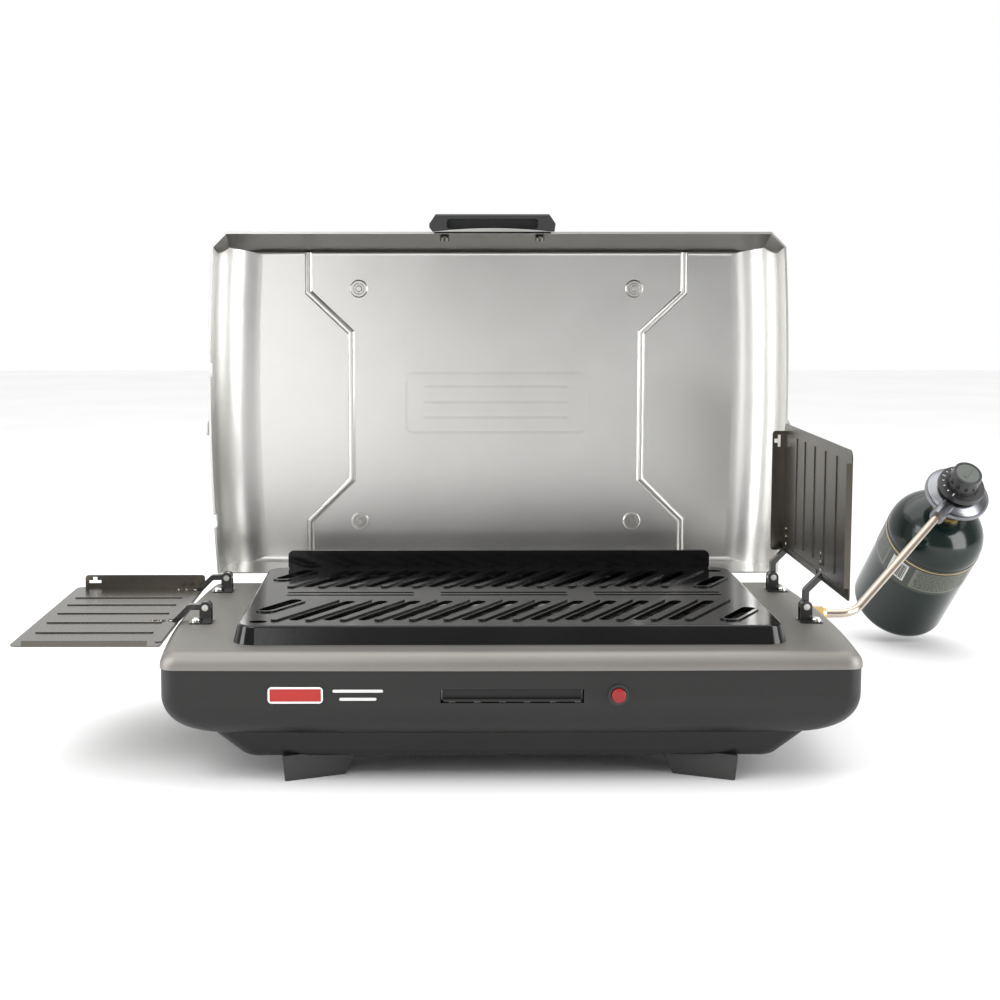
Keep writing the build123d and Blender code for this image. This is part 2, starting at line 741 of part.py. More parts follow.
with BuildPart() as lid_rivets:
    for side in (-1, 1):
        leaf_plane = Plane(origin=(side * leaf_x, hinge_y + 20, 0))
        with BuildSketch(leaf_plane.offset(lid_z0 - 2.2)):
            with GridLocations(rivet_pitch, 0, 2, 1):
                Circle(1.6)
        extrude(amount=5)
        with BuildSketch(leaf_plane.offset(lid_z0 - 1.45)):
            with GridLocations(rivet_pitch, 0, 2, 1):
                Circle(3.2)
        extrude(amount=-1.2, taper=25)
        with BuildSketch(leaf_plane.offset(lid_z0 + sheet_t + 0.05)):
            with GridLocations(rivet_pitch, 0, 2, 1):
                Circle(3.2)
        extrude(amount=1.3, taper=25)
save(lid_rivets.part, "lid_rivets")

# Brackets that carry the side tables on the deck
CORNERS = [(side, y, f"{place}_{hand}") for side, hand in ((-1, "left"), (1, "right"))
           for y, place in zip(arm_ys, ("front", "rear"))]
for side, y, name in CORNERS:
    with BuildPart() as bracket:
        with BuildSketch(Plane.XY.offset(deck_z)):
            with Locations((side * 249.5, y - 4)):
                RectangleRounded(19, 22, 3)
            with Locations((side * 253.5, y - 10)):
                Circle(2.2, mode=Mode.SUBTRACT)
        extrude(amount=1.2)
        for ear_y in (y - 5.4, y + 4.2):
            with BuildSketch(Plane.XZ.offset(-ear_y)):
                with Locations((side * pivot_x, (deck_z + 0.6 + pivot_z) / 2)):
                    Rectangle(9.6, pivot_z - deck_z - 0.6)
                with Locations((side * pivot_x, pivot_z)):
                    Circle(4.8)
                    Circle(pin_r + 0.05, mode=Mode.SUBTRACT)
            extrude(amount=-1.2)
    save(bracket.part, f"bracket_{name}")

with BuildPart() as bracket_screws:
    with BuildSketch(Plane.XY.offset(deck_z - 6)):
        with Locations(*SCREWS):
            Circle(2.0)
    extrude(amount=8)
    with BuildSketch(Plane.XY.offset(deck_z + 1.25)):
        with Locations(*SCREWS):
            Circle(4.0)
    extrude(amount=3.2)
    fillet(bracket_screws.faces().filter_by(Axis.Z).group_by(Axis.Z)[-1].edges(), 2)
save(bracket_screws.part, "bracket_screws")

with BuildPart() as bracket_pins:
    for side, y in BRACKETS:
        pivot_plane = wall_plane(side * pivot_x, y, pivot_z)
        with BuildSketch(pivot_plane.offset(-5.9)):
            Circle(pin_r)
        extrude(amount=11.8)
        for head in (-6.6, 5.5):
            with BuildSketch(pivot_plane.offset(head)):
                Circle(2.6)
            extrude(amount=1.1)
save(bracket_pins.part, "bracket_pins")


def table_frame(side):
    """Table plane: x away from the hinge line, z outboard when standing, y_sign for +Y."""
    if side < 0:
        return Plane(origin=(-pivot_x, 0, pivot_z), x_dir=(-1, 0, 0), z_dir=(0, 0, -1)), 1
    return Plane(origin=(pivot_x, 0, pivot_z), x_dir=(0, 0, 1), z_dir=(1, 0, 0)), -1


panel_len = panel_r1 - panel_r0
panel_mid_r = (panel_r0 + panel_r1) / 2
bead_ys = (68.0, 35.0, -3.0, -42.0, -82.0)
rivet_rs = (36.0, 43.0)
arm_t = 4.6
hem_spans = ((-119.0, -45.0), (-21.0, 96.0))

for side, name in ((-1, "left"), (1, "right")):
    flat, ys = table_frame(side)
    top = flat.offset(panel_u - panel_t / 2)
    mid_y = ys * (panel_y0 + panel_y1) / 2
    with BuildPart() as table:
        with BuildSketch(top) as sheet:
            with Locations((panel_mid_r, mid_y)):
                Rectangle(panel_len, panel_y1 - panel_y0)
            fillet(sheet.vertices().group_by(Axis.X)[-1], 7)
            fillet(sheet.vertices().group_by(Axis.X)[0], 3)
        extrude(amount=panel_t)
        # the arms dive through two notches in the hinge edge
        with BuildSketch(top):
            with Locations(*[(panel_r0 + 2.5, ys * y) for y in arm_ys]):
                Rectangle(13, 10.5)
        extrude(amount=panel_t, mode=Mode.SUBTRACT)
        # rear flange and a short front lip
        with BuildSketch(top):
            with Locations(((panel_r0 + panel_r1 - 7) / 2, ys * (panel_y1 - panel_t / 2))):
                Rectangle(panel_len - 7, panel_t)
        extrude(amount=-flange_d)
        with BuildSketch(top):
            with Locations((panel_mid_r, ys * (panel_y0 + panel_t / 2))):
                Rectangle(panel_len - 20, panel_t)
        extrude(amount=-4)
        # folded hem along the hinge edge, broken at the arms
        with BuildSketch(top):
            for y0, y1 in hem_spans:
                with Locations((panel_r0 + 3.5, ys * (y0 + y1) / 2)):
                    Rectangle(5, y1 - y0)
        extrude(amount=-0.6)
        # pressed beads across the sheet
        with BuildSketch(top.offset(-0.8)):
            with Locations(*[(panel_mid_r + 2, ys * y) for y in bead_ys]):
                SlotOverall(panel_len - 22, 3.2)
        extrude(amount=1.0)
        with BuildSketch(top.offset(panel_t)):
            with Locations(*[(panel_mid_r + 2, ys * y) for y in bead_ys]):
                SlotOverall(panel_len - 24, 1.8)
        extrude(amount=-1.0, mode=Mode.SUBTRACT)
        with BuildSketch(top):
            with Locations(*[(r, ys * y) for r in rivet_rs for y in arm_ys]):
                Circle(1.7)
        extrude(amount=4, both=True, mode=Mode.SUBTRACT)
        # T-shaped hanging slot in the flange
        edge = Plane(origin=flat.origin + Vector(0, panel_y1 - 4, 0), x_dir=flat.x_dir, z_dir=(0, 1, 0))
        us = 1 if edge.y_dir.dot(flat.z_dir) > 0 else -1
        with BuildSketch(edge):
            with Locations((122, us * 6.6)):
                Rectangle(11, 2.6)
            with Locations((122, us * 4.4)):
                Rectangle(3.8, 4.2)
        extrude(amount=8, mode=Mode.SUBTRACT)
        fillet(table.edges().filter_by(Axis.Y).filter_by(lambda e: e.length < 1)
               .filter_by(lambda e: abs((e.center() - flat.origin).dot(flat.z_dir)
                                        - (panel_u - panel_t / 2 - flange_d)) < 0.1)
               .filter_by(lambda e: e.center().Y > panel_y1 - 2), 3)
    save(table.part, f"{name}_table")
    for arm_y, place in zip(arm_ys, ("front", "rear")):
        with BuildPart() as arm:
            arm_plane = Plane(origin=flat.origin + Vector(0, arm_y - 3.6, 0), x_dir=flat.x_dir,
                              z_dir=(0, 1, 0))
            lie_u = panel_u + panel_t / 2 + 0.01 + arm_t / 2
            with BuildSketch(arm_plane):
                with BuildLine():
                    FilletPolyline((0, 0), (13.1, 0), (lie_u + 13.1, us * lie_u),
                                   (48, us * lie_u), radius=3)
                trace(line_width=arm_t)
                Circle(4.6)
                Circle(pin_r + 0.05, mode=Mode.SUBTRACT)
            extrude(amount=7.2)
            with BuildSketch(flat):
                with Locations(*[(r, ys * arm_y) for r in rivet_rs]):
                    Circle(1.7)
            extrude(amount=20, mode=Mode.SUBTRACT)
        save(arm.part, f"{name}_arm_{place}")
    with BuildPart() as rivets:
        spots = [(r, ys * y) for r in rivet_rs for y in arm_ys]
        with BuildSketch(flat.offset(panel_u - panel_t / 2 - 0.3)):
            with Locations(*spots):
                Circle(1.6)
        extrude(amount=arm_t + panel_t + 0.6)
        with BuildSketch(flat.offset(lie_u + arm_t / 2 + 0.02)):
            with Locations(*spots):
                Circle(2.8)
        extrude(amount=1.2, taper=25)
        with BuildSketch(flat.offset(panel_u - panel_t / 2 - 0.02)):
            with Locations(*spots):
                Circle(2.8)
        extrude(amount=-1.0, taper=25)
    save(rivets.part, f"{name}_table_rivets")

# Gas inlet, rigid pipe and regulator
inlet_plane = Plane(origin=(0, inlet_y, inlet_z), x_dir=(0, 1, 0), z_dir=(1, 0, 0))
with BuildPart() as inlet_fitting:
    with BuildSketch(inlet_plane.offset(261)):
        Circle(6.4)
    extrude(amount=14)
    with BuildSketch(inlet_plane.offset(275)):
        RegularPolygon(8.6, 6)
    extrude(amount=7)
    with BuildSketch(inlet_plane.offset(282)):
        Circle(6)
    extrude(amount=3)
    with BuildSketch(inlet_plane.offset(262)):
        Circle(3.0)
    extrude(amount=21, mode=Mode.SUBTRACT)
    with BuildSketch(inlet_plane.offset(258)):
        Circle(5.3)
        Circle(1.0, mode=Mode.SUBTRACT)
    extrude(amount=6.2)
save(inlet_fitting.part, "inlet_fitting")

with BuildPart() as inlet_locknut:
    with BuildSketch(inlet_plane.offset(261.4)):
        RegularPolygon(9.5, 6)
        Circle(6.45, mode=Mode.SUBTRACT)
    extrude(amount=2.6)
save(inlet_locknut.part, "inlet_locknut")

with BuildPart() as pipe_nut:
    with BuildSketch(inlet_plane.offset(285.1)):
        RegularPolygon(7.6, 6)
    extrude(amount=9)
    with BuildSketch(inlet_plane.offset(294.1)):
        Circle(6)
    extrude(amount=3, taper=20)
    with BuildSketch(inlet_plane.offset(283)):
        Circle(pipe_r + 0.05)
    extrude(amount=20, mode=Mode.SUBTRACT)
save(pipe_nut.part, "pipe_nut")

tilt = math.radians(gas_tilt)
heading = math.radians(gas_heading)
gas_axis = Vector(math.sin(tilt) * math.cos(heading), math.sin(tilt) * math.sin(heading), math.cos(tilt))
centre = Vector(*gas_centre)
bend_point = Vector(322, inlet_y, inlet_z)
run = (centre - gas_axis * 4 - bend_point).normalized()
cross = run - gas_axis * run.dot(gas_axis)
gas_plane = Plane(origin=centre, x_dir=cross.normalized() * -1, z_dir=gas_axis)
boss_end = centre - gas_axis * 4 - run * 49

with BuildPart() as fuel_pipe:
    with BuildLine() as pipe_path:
        FilletPolyline((285.3, inlet_y, inlet_z), bend_point, boss_end + run * 6, radius=26)
    with BuildSketch(Plane(origin=pipe_path.line @ 0, z_dir=pipe_path.line % 0)):
        Circle(pipe_r)
        Circle(pipe_r - 1.1, mode=Mode.SUBTRACT)
    sweep()
save(fuel_pipe.part, "fuel_pipe")

with BuildPart() as regulator_body:
    with BuildSketch(Plane(origin=centre, x_dir=gas_plane.y_dir, z_dir=gas_plane.x_dir)) as half:
        with BuildLine():
            Polyline((0, -14), (-11, -14), (-13, -11), (-24, -9), (-28.5, -6.5), (-30.5, -5.5),
                     (-30.5, 0), (-28.5, 1.2), (-24, 3.2), (-17, 5.6), (-14, 8), (0, 8), close=True)
        make_face()
    revolve(axis=Axis(centre, gas_axis))
    with BuildSketch(Plane(origin=boss_end, z_dir=run)):
        Circle(7.2)
    extrude(amount=25)
    with BuildSketch(Plane(origin=boss_end, z_dir=run)):
        Circle(pipe_r + 0.05)
    extrude(amount=9, mode=Mode.SUBTRACT)
    with BuildSketch(gas_plane.offset(2)):
        Circle(4.05)
    extrude(amount=8, mode=Mode.SUBTRACT)
save(regulator_body.part, "regulator_body")

with BuildPart() as regulator_ring:
    with BuildSketch(gas_plane.offset(-4.8)):
        Circle(32.2)
        Circle(30.6, mode=Mode.SUBTRACT)
    extrude(amount=4)
    with BuildSketch(Plane(origin=boss_end, z_dir=run)):
        Circle(7.5)
    extrude(amount=30, mode=Mode.SUBTRACT)
save(regulator_ring.part, "regulator_ring")

with BuildPart() as regulator_socket:
    with BuildSketch(gas_plane.offset(-24)):
        Circle(15.5)
    extrude(amount=9.9)
    with BuildSketch(gas_plane.offset(-25)):
        Circle(12.9)
    extrude(amount=8, mode=Mode.SUBTRACT)
save(regulator_socket.part, "regulator_socket")

with BuildPart() as control_knob:
    with BuildSketch(gas_plane.offset(8.4)):
        Circle(23.5)
    extrude(amount=5, taper=8)
    with BuildSketch(gas_plane.offset(13.4)):
        Circle(16.5)
    extrude(amount=17, taper=8)
    with BuildSketch(gas_plane.offset(20)):
        with PolarLocations(16.6, 12):
            Circle(2.2)
    extrude(amount=14, mode=Mode.SUBTRACT)
    with BuildSketch(gas_plane.offset(29.2)):
        Circle(12)
    extrude(amount=4, mode=Mode.SUBTRACT)
    with BuildSketch(gas_plane.offset(3.5)):
        Circle(4)
    extrude(amount=5)
save(control_knob.part, "control_knob")

with BuildPart() as knob_insert:
    with BuildSketch(gas_plane.offset(29.2)):
        Circle(11.7)
    extrude(amount=0.9)
    with BuildSketch(gas_plane.offset(30.1)):
        Rectangle(13, 3)
    extrude(amount=0.5)
save(knob_insert.part, "knob_insert")

with BuildPart() as dial_marks:
    with BuildSketch(gas_plane.offset(13.42)):
        for step in range(9):
            with PolarLocations(19.4, 1, start_angle=200 + 20 * step):
                Rectangle(3.4 if step % 4 == 0 else 2.2, 0.9)
    extrude(amount=0.3)
save(dial_marks.part, "dial_marks")

# One-pound gas cylinder screwed into the regulator
with BuildPart() as gas_cylinder:
    with BuildSketch(Plane(origin=centre, x_dir=gas_plane.y_dir, z_dir=gas_plane.x_dir)):
        with BuildLine():
            Polyline((0, -30), (-17, -30), (-17, -33))
            ThreePointArc((-17, -33), (-38, -42), (-can_r, -64))
            Line((-can_r, -64), (-can_r, 10 - can_length))
            ThreePointArc((-can_r, 10 - can_length), (-46.5, 3.5 - can_length), (-41, -can_length))
            Polyline((-41, -can_length), (-38, -can_length), (-34, 5 - can_length),
                     (-14, 7 - can_length), (0, 7 - can_length), (0, -30))
        make_face()
    revolve(axis=Axis(centre, gas_axis))
save(gas_cylinder.part, "gas_cylinder")

with BuildPart() as cylinder_neck:
    with BuildSketch(gas_plane.offset(-30)):
        Circle(15.8)
    extrude(amount=4.6)
    with BuildSketch(gas_plane.offset(-25.4)):
        Circle(12.5)
    extrude(amount=7.6)
    with BuildSketch(gas_plane.offset(-19)):
        Circle(3)
    extrude(amount=2, mode=Mode.SUBTRACT)
save(cylinder_neck.part, "cylinder_neck")

with BuildPart() as cylinder_label:
    with BuildSketch(gas_plane.offset(-69 - 38)):
        Circle(can_r + 0.35)
        Circle(can_r + 0.02, mode=Mode.SUBTRACT)
    extrude(amount=38)
save(cylinder_label.part, "cylinder_label")
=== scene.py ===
"""Look of the folding camp grill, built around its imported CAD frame."""

import json
import math
import random

import bpy
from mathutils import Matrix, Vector


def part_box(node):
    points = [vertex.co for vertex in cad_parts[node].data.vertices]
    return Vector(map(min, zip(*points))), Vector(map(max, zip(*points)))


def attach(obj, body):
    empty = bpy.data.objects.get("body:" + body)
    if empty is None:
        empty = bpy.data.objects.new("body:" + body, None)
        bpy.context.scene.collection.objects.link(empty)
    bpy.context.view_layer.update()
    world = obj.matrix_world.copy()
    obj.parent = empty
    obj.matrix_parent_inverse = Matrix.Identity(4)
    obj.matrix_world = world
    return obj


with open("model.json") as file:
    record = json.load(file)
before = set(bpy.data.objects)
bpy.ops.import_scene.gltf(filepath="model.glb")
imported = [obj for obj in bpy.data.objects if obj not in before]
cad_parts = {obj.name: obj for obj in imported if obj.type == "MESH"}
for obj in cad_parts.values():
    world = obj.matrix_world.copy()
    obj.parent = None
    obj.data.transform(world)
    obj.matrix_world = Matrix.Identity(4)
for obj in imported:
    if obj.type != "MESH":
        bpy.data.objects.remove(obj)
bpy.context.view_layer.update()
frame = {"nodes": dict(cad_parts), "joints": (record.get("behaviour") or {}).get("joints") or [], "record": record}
nodes = frame["nodes"]
random.seed(11)


# ---------------------------------------------------------------- materials

def new_material(name):
    """A node material with its Principled shader."""
    mat = bpy.data.materials.new(name)
    mat.use_nodes = True
    tree = mat.node_tree
    return mat, tree, tree.nodes["Principled BSDF"]


def object_coords(tree, stretch=(1, 1, 1)):
    """Object coordinates, stretched so that a pattern can run along an axis."""
    coords = tree.nodes.new("ShaderNodeTexCoord")
    mapping = tree.nodes.new("ShaderNodeMapping")
    mapping.inputs["Scale"].default_value = stretch
    tree.links.new(coords.outputs["Object"], mapping.inputs["Vector"])
    return mapping.outputs["Vector"]


def noise(tree, vector, scale, detail=3.0):
    """Factor of a noise texture."""
    tex = tree.nodes.new("ShaderNodeTexNoise")
    tex.inputs["Scale"].default_value = scale
    tex.inputs["Detail"].default_value = detail
    tree.links.new(vector, tex.inputs["Vector"])
    return tex.outputs["Fac"]


def ramp(tree, factor, low, high, start=0.3, end=0.7):
    """Colours or greys between two stops."""
    node = tree.nodes.new("ShaderNodeValToRGB")
    node.color_ramp.elements[0].position = start
    node.color_ramp.elements[0].color = (*low, 1)
    node.color_ramp.elements[1].position = end
    node.color_ramp.elements[1].color = (*high, 1)
    tree.links.new(factor, node.inputs["Fac"])
    return node.outputs["Color"]


def spread(tree, factor, low, high):
    """A number between low and high."""
    node = tree.nodes.new("ShaderNodeMapRange")
    node.inputs["To Min"].default_value = low
    node.inputs["To Max"].default_value = high
    tree.links.new(factor, node.inputs["Value"])
    return node.outputs["Result"]


def bump(tree, bsdf, height, strength, distance=0.0003):
    """Fine relief from a height."""
    node = tree.nodes.new("ShaderNodeBump")
    node.inputs["Strength"].default_value = strength
    node.inputs["Distance"].default_value = distance
    tree.links.new(height, node.inputs["Height"])
    tree.links.new(node.outputs["Normal"], bsdf.inputs["Normal"])


def shade(colour, gain):
    """A colour made lighter or darker."""
    return tuple(min(1.0, c * gain) for c in colour)


def metal(name, colour, rough, brush=(1, 1, 1), grain=350.0, spreads=0.08, tone=0.1, relief=0.05):
    """Bare or plated metal, with grain along one axis and slight smudging."""
    mat, tree, bsdf = new_material(name)
    bsdf.inputs["Metallic"].default_value = 1.0
    streaks = noise(tree, object_coords(tree, brush), grain, 4)
    smudge = noise(tree, object_coords(tree), 9.0, 5)
    tree.links.new(ramp(tree, smudge, shade(colour, 1 - tone), shade(colour, 1 + tone)),
                   bsdf.inputs["Base Color"])
    mix = tree.nodes.new("ShaderNodeMath")
    mix.operation = "MULTIPLY_ADD"
    mix.inputs[1].default_value = spreads
    tree.links.new(streaks, mix.inputs[0])
    tree.links.new(spread(tree, smudge, rough - spreads, rough + spreads * 0.4), mix.inputs[2])
    tree.links.new(mix.outputs["Value"], bsdf.inputs["Roughness"])
    bump(tree, bsdf, streaks, relief)
    return mat


def paint(name, colour, rough, coat=0.0, peel=900.0, relief=0.08, tone=0.15, smear=0.1):
    """Painted, moulded or enamelled surface with fine texture."""
    mat, tree, bsdf = new_material(name)
    fine = noise(tree, object_coords(tree), peel, 2)
    broad = noise(tree, object_coords(tree), 14.0, 5)
    tree.links.new(ramp(tree, broad, shade(colour, 1 - tone), shade(colour, 1 + tone)),
                   bsdf.inputs["Base Color"])
    tree.links.new(spread(tree, broad, max(0.03, rough - smear), rough + smear),
                   bsdf.inputs["Roughness"])
    bsdf.inputs["Coat Weight"].default_value = coat
    bsdf.inputs["Coat Roughness"].default_value = 0.06
    bump(tree, bsdf, fine, relief)
    return mat


LOOKS = {
    "tub_black": paint("tub_black", (0.011, 0.011, 0.0105), 0.42, 0.0, 1400, 0.12),
    "bezel_steel": metal("bezel_steel", (0.235, 0.226, 0.209), 0.54, (1, 14, 14), 160, 0.06, 0.05),
    "lid_steel": metal("lid_steel", (0.60, 0.595, 0.58), 0.30, (14, 14, 1), 120, 0.06, 0.05, 0.03),
    "sheet_steel": metal("sheet_steel", (0.42, 0.41, 0.39), 0.38, (1, 8, 8), 220, 0.1, 0.2),
    "enamel_black": paint("enamel_black", (0.006, 0.006, 0.006), 0.13, 0.0, 260, 0.10, 0.2, 0.05),
    "table_nickel": metal("table_nickel", (0.115, 0.105, 0.089), 0.24, (14, 1, 14), 200, 0.06, 0.15),
    "bracket_black": paint("bracket_black", (0.014, 0.014, 0.014), 0.22, 0.4, 700, 0.1),
    "bright_zinc": metal("bright_zinc", (0.78, 0.77, 0.75), 0.18, (1, 1, 1), 500, 0.06, 0.1),
    "handle_black": paint("handle_black", (0.016, 0.016, 0.017), 0.42, 0.0, 1800, 0.2),
    "brass": metal("brass", (0.72, 0.50, 0.20), 0.22, (1, 1, 1), 500, 0.08, 0.12),
    "pipe_nickel": metal("pipe_nickel", (0.52, 0.44, 0.36), 0.18, (1, 1, 1), 300, 0.06, 0.1),
    "die_cast": metal("die_cast", (0.22, 0.225, 0.24), 0.25, (1, 1, 1), 650, 0.05, 0.08, 0.03),
    "knob_black": paint("knob_black", (0.016, 0.016, 0.017), 0.3, 0.2, 1600, 0.12),
    "knob_face": paint("knob_face", (0.075, 0.085, 0.075), 0.4, 0.1, 900, 0.1),
    "print_white": paint("print_white", (0.6, 0.6, 0.58), 0.45, 0.0, 900, 0.05, 0.05),
    "can_green": paint("can_green", (0.003, 0.010, 0.008), 0.16, 0.2, 500, 0.05, 0.2, 0.05),
    "label_olive": paint("label_olive", (0.02, 0.028, 0.021), 0.36, 0.3, 900, 0.05, 0.12),
    "button_red": paint("button_red", (0.26, 0.008, 0.010), 0.2, 0.15, 700, 0.04, 0.1),
    "badge_red": paint("badge_red", (0.37, 0.014, 0.010), 0.25, 0.15, 700, 0.04, 0.08),
    "foot_rubber": paint("foot_rubber", (0.03, 0.03, 0.029), 0.5, 0.0, 1500, 0.25),
    "ceramic": paint("ceramic", (0.8, 0.77, 0.7), 0.25, 0.3, 700, 0.05, 0.06),
    "wire": paint("wire", (0.35, 0.03, 0.02), 0.45, 0.0, 900, 0.1),
}


def mix_in(mat, factor, colour):
    """Lays a second colour over a material where the factor is one."""
    tree = mat.node_tree
    socket = tree.nodes["Principled BSDF"].inputs["Base Color"]
    under = socket.links[0].from_socket
    mix = tree.nodes.new("ShaderNodeMix")
    mix.data_type = "RGBA"
    mix.inputs["B"].default_value = (*colour, 1)
    tree.links.new(factor, mix.inputs["Factor"])
    tree.links.new(under, mix.inputs["A"])
    tree.links.new(mix.outputs["Result"], socket)


def window(tree, value, start, end):
    """Zero below the start and one beyond the end; the end may be the smaller."""
    node = tree.nodes.new("ShaderNodeMapRange")
    node.inputs["From Min"].default_value = start
    node.inputs["From Max"].default_value = end
    tree.links.new(value, node.inputs["Value"])
    return node.outputs["Result"]


def math_node(tree, operation, first, second):
    """Result of a maths node; the second input may be a number, and a third is always 0.5."""
    node = tree.nodes.new("ShaderNodeMath")
    node.operation = operation
    node.inputs[2].default_value = 0.5
    tree.links.new(first, node.inputs[0])
    if isinstance(second, (int, float)):
        node.inputs[1].default_value = second
    else:
        tree.links.new(second, node.inputs[1])
    return node.outputs["Value"]


def split_coords(tree, output):
    """X, Y and Z of the piece's own coordinates or normal."""
    coords = tree.nodes.new("ShaderNodeTexCoord")
    parts = tree.nodes.new("ShaderNodeSeparateXYZ")
    tree.links.new(coords.outputs[output], parts.inputs["Vector"])
    return parts.outputs


# painted shade: the downward-facing inside of the lid's front wall is darkened
lid_tree = LOOKS["lid_steel"].node_tree
wall_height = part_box("lid_shell")[1][2]
near_wall = window(lid_tree, split_coords(lid_tree, "Object")["Z"],
                   wall_height - 0.0225, wall_height - 0.0165)
facing_down = window(lid_tree, split_coords(lid_tree, "Normal")["Z"], -0.2, -0.7)
# mask of the painted shade, where the wall's inside faces down near its top
painted_shade = math_node(lid_tree, "MULTIPLY", near_wall, facing_down)
mix_in(LOOKS["lid_steel"], painted_shade, (0.095, 0.086, 0.074))

# the badge has a white rim
rim_width = 0.0015
rim_blur = 0.0002
badge_low, badge_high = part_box("front_badge")
badge_tree = LOOKS["badge_red"].node_tree
badge_at = split_coords(badge_tree, "Object")
edges = []
for axis, i in (("X", 0), ("Z", 2)):
    middle = (badge_low[i] + badge_high[i]) / 2
    half = (badge_high[i] - badge_low[i]) / 2
    offset = math_node(badge_tree, "SUBTRACT", badge_at[axis], middle)
    away = math_node(badge_tree, "ABSOLUTE", offset, 0.0)
    edges.append(window(badge_tree, away, half - rim_width, half - rim_width + rim_blur))
mix_in(LOOKS["badge_red"], math_node(badge_tree, "MAXIMUM", *edges), (0.8, 0.8, 0.78))

slot_of = {s["node"]: s["material_slot"] for s in frame["record"]["subparts"]}
blackened = metal("blackened_zinc", (0.10, 0.095, 0.085), 0.35, (1, 1, 1), 500, 0.06, 0.1)
OVERRIDES = {
    "handle_screws": blackened, "handle_washers": blackened,
    "left_table_rivets": LOOKS["table_nickel"], "right_table_rivets": LOOKS["table_nickel"],
}
for name, obj in nodes.items():
    obj.data.materials.clear()
    obj.data.materials.append(OVERRIDES.get(name, LOOKS[slot_of[name]]))
DULL_SPECULAR = 0.34
for dull in ("tub_black", "enamel_black", "can_green", "badge_red", "button_red"):
    dull_bsdf = LOOKS[dull].node_tree.nodes["Principled BSDF"]
    dull_bsdf.inputs["Specular IOR Level"].default_value = DULL_SPECULAR


def soften(obj, width, segments=2, angle=32):
    """Rounds the hard edges of a piece and smooths its curved faces."""
    for face in obj.data.polygons:
        face.use_smooth = True
    bevel = obj.modifiers.new("edge", "BEVEL")
    bevel.width = width
    bevel.segments = segments
    bevel.limit_method = "ANGLE"
    bevel.angle_limit = math.radians(angle)
    bevel.harden_normals = True
    bevel.use_clamp_overlap = True


SOFT_DEFAULT = 0.0003
SOFT = {
    "cooking_grate": 0.0008, "lid_shell": 0.0005, "top_bezel": 0.0004, "base_shell": 0.0004,
    "lid_handle": 0.0012, "control_knob": 0.0006,
}
for name, obj in nodes.items():
    soften(obj, SOFT.get(name, SOFT_DEFAULT))


# ---------------------------------------------------------------- cylinder print

def joint(name):
    """A joint of the frame by its name."""
    return next(j for j in frame["joints"] if j["name"] == name)


can_axis = Vector(joint("cylinder_screw")["axis"]).normalized()
can_origin = Vector(joint("cylinder_screw")["pos_m"])
can_side = can_axis.cross(Vector((0, 0, 1))).normalized()
can_front = can_axis.cross(can_side)
can_radius = 0.0492

# heights along the axis from the regulator, and angles round the wall
label_mid = -0.088
text_low, text_high = label_mid - 0.0155, label_mid + 0.013
code_low, code_high = label_mid - 0.013, label_mid + 0.011
code_start, code_end = 0.80, 1.22
line_low, line_high = label_mid + 0.0158, label_mid + 0.0166
TEXT_BLOCKS = (("label_text_right", -0.62, 0.66), ("label_text_left", 1.34, 1.9),
               ("label_text_back", 2.3, 4.9))


def on_can(angle, height, lift):
    """Point on the cylinder's wall; angle 0 faces the cook, and it grows to the left."""
    around = can_front * math.cos(angle) + can_side * math.sin(angle)
    return can_origin + can_axis * height + around * (can_radius + lift)


def patches(name, slot, spots, lift, thick=0.00012, look=None):
    """Thin curved patches on the cylinder's wall, as one piece."""
    verts, faces = [], []
    for a0, a1, h0, h1 in spots:
        steps = max(1, int((a1 - a0) / 0.06))
        for i in range(steps + 1):
            a = a0 + (a1 - a0) * i / steps
            for h, d in ((h0, lift), (h1, lift), (h1, lift + thick), (h0, lift + thick)):
                verts.append(on_can(a, h, d))
        first = len(verts) - 4 * (steps + 1)
        for i in range(steps):
            p, q = first + 4 * i, first + 4 * (i + 1)
            for k in range(4):
                n = (k + 1) % 4
                faces.append((p + k, q + k, q + n, p + n))
        faces.append((first, first + 1, first + 2, first + 3))
        last = first + 4 * steps
        faces.append((last + 3, last + 2, last + 1, last))
    mesh = bpy.data.meshes.new(name)
    mesh.from_pydata([tuple(v) for v in verts], [], faces)
    mesh.validate()
    obj = bpy.data.objects.new(name, mesh)
    bpy.context.scene.collection.objects.link(obj)
    obj.data.materials.append(look or LOOKS[slot])
    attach(obj, "cylinder")
    return obj


def print_rows(a0, a1, h0, h1, row_h, gap):
    """Rows of short dashes of uneven length, like small print."""
    rows = []
    height = h1 - row_h
    while height > h0:
        angle = a0
        while angle < a1 - 0.04:
            width = random.uniform(0.03, 0.14)
            rows.append((angle, min(angle + width, a1), height, height + row_h))
            angle += width + 0.02
        height -= row_h + gap
    return rows


label_pale = paint("label_pale", (0.125, 0.135, 0.105), 0.36, 0.15, 900, 0.05, 0.1)
PROUD = 0.00036
PRINT = PROUD + 0.00014
for name, a0, a1 in TEXT_BLOCKS:
    patches(name + "_ground", "label_olive", [(a0, a1, text_low, text_high)], PROUD, look=label_pale)
    rows = print_rows(a0 + 0.06, a1 - 0.06, text_low + 0.001, text_high - 0.001, 0.0009, 0.0011)
    patches(name, "label_olive", rows, PRINT)
patches("label_code_ground", "print_white", [(code_start, code_end, code_low, code_high)], PROUD)
bars = []
edge = code_start + 0.04
while edge < code_end - 0.06:
    width = random.choice((0.006, 0.012, 0.018))
    bars.append((edge, edge + width, code_low + 0.002, code_high - 0.002))
    edge += width + random.choice((0.008, 0.014))
patches("label_code_bars", "knob_black", bars, PRINT)
patches("label_edge_line", "brass", [(-1.05, 2.05, line_low, line_high)], PROUD)


# ---------------------------------------------------------------- lid and body details

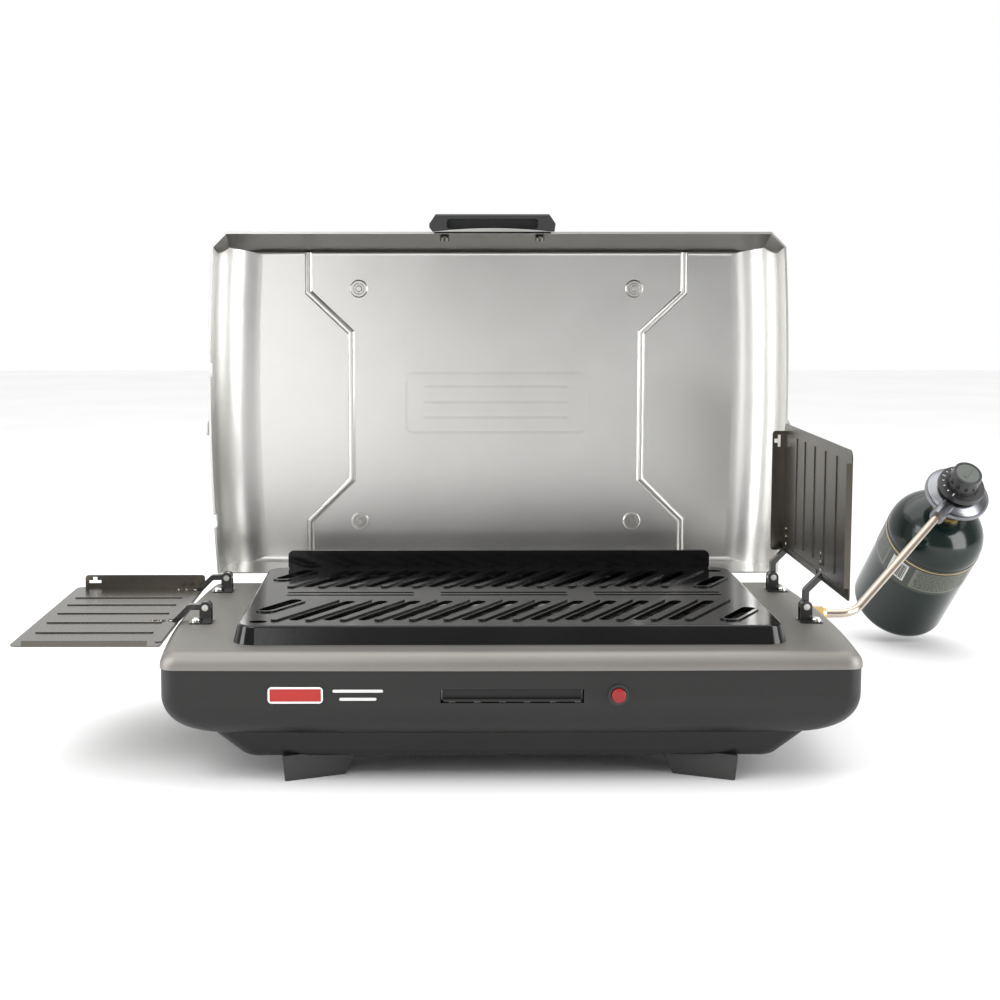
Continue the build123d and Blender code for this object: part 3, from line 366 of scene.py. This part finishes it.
def joined(name, slot, body, verts, faces, look=None):
    """A piece from its points and faces, riding on a body."""
    mesh = bpy.data.meshes.new(name)
    mesh.from_pydata([tuple(v) for v in verts], [], faces)
    mesh.validate()
    obj = bpy.data.objects.new(name, mesh)
    bpy.context.scene.collection.objects.link(obj)
    obj.data.materials.append(look or LOOKS[slot])
    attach(obj, body)
    return obj


def extruded(name, slot, body, outline, start, end, edge=0.0003):
    """A prism along Y from an outline in X and Z."""
    count = len(outline)
    verts = [(x, y, z) for y in (start, end) for x, z in outline]
    faces = [tuple(range(count)), tuple(reversed(range(count, 2 * count)))]
    faces += [(i + count, (i + 1) % count + count, (i + 1) % count, i) for i in range(count)]
    obj = joined(name, slot, body, verts, faces)
    soften(obj, edge)
    return obj


# raised seat in the lid's edge in front of the handle
handle_low, handle_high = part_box("lid_handle")
handle_mid = (handle_low[0] + handle_high[0]) / 2
rim_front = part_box("lid_shell")[0][1]
seat_half = 0.054
seat_rise = 0.0032
seat_foot = wall_height - 0.002
seat = []
for step in range(8, -9, -1):
    across = step / 8
    seat.append((handle_mid + seat_half * across, wall_height + seat_rise * (1 - across ** 2)))
seat += [(handle_mid - seat_half, seat_foot), (handle_mid + seat_half, seat_foot)]
extruded("lid_handle_seat", "lid_steel", "lid", seat, rim_front, rim_front + 0.0016)


# ---------------------------------------------------------------- floor, light, camera

def area_light(name, place, target, size, power):
    """A rectangular lamp that faces the target."""
    data = bpy.data.lights.new(name, "AREA")
    data.shape = "RECTANGLE"
    data.size, data.size_y = size
    data.energy = power
    obj = bpy.data.objects.new(name, data)
    obj.location = place
    obj.rotation_euler = (Vector(target) - Vector(place)).to_track_quat("-Z", "Y").to_euler()
    bpy.context.scene.collection.objects.link(obj)
    return obj


floor_mesh = bpy.data.meshes.new("floor")
reach = 6.0
floor_corners = [(-reach, -reach, 0), (reach, -reach, 0), (reach, reach, 0), (-reach, reach, 0)]
floor_mesh.from_pydata(floor_corners, [], [(0, 1, 2, 3)])
floor = bpy.data.objects.new("floor", floor_mesh)
bpy.context.scene.collection.objects.link(floor)
floor_mat, floor_tree, floor_bsdf = new_material("pale_floor")
floor_tint = ramp(floor_tree, noise(floor_tree, object_coords(floor_tree), 3.0, 4),
                  (0.86, 0.86, 0.86), (0.9, 0.9, 0.9))
floor_tree.links.new(floor_tint, floor_bsdf.inputs["Base Color"])
floor_bsdf.inputs["Roughness"].default_value = 0.9
floor.data.materials.append(floor_mat)

# the sky is bright behind the object and dim in front of it
world = bpy.data.worlds.new("studio")
bpy.context.scene.world = world
world.use_nodes = True
back = world.node_tree.nodes["Background"]
sky = split_coords(world.node_tree, "Generated")
sky_tint = ramp(world.node_tree, math_node(world.node_tree, "MULTIPLY_ADD", sky["Y"], 0.5),
                (0.32, 0.32, 0.32), (1, 1, 1), 0.5, 0.74)
world.node_tree.links.new(sky_tint, back.inputs["Color"])
back.inputs["Strength"].default_value = 1.0

area_light("key", (-1.3, -1.5, 1.9), (0, 0, 0.2), (1.2, 1.2), 26)
area_light("top", (0, 0.5, 2.3), (0, 0.1, 0), (2.4, 1.8), 18)
overhead_data = bpy.data.lights.new("overhead", "SUN")
overhead_data.energy = 1.5
overhead_data.angle = 1.6
overhead = bpy.data.objects.new("overhead", overhead_data)
bpy.context.scene.collection.objects.link(overhead)
area_light("card_left", (-0.52, -2.0, 0.4), (-0.15, 0.2, 0.3), (0.34, 1.3), 3.6)
area_light("strip_left", (-1.35, -0.45, 0.5), (0.1, 0.2, 0.3), (0.5, 1.2), 14)
area_light("strip_right", (1.35, -0.55, 0.5), (-0.1, 0.2, 0.3), (0.7, 1.2), 18)

camera_data = bpy.data.cameras.new("camera")
camera = bpy.data.objects.new("camera", camera_data)
bpy.context.scene.collection.objects.link(camera)
camera.location = (-0.0535, -1.4172, 0.3844)
camera.rotation_euler = (math.radians(90 - 6.13), 0, -0.0072)
camera_data.sensor_width = 36
camera_data.lens = 61.5
camera_data.shift_x = 0.0469
camera_data.shift_y = -0.035
bpy.context.scene.camera = camera
bpy.context.scene.view_settings.view_transform = "Standard"
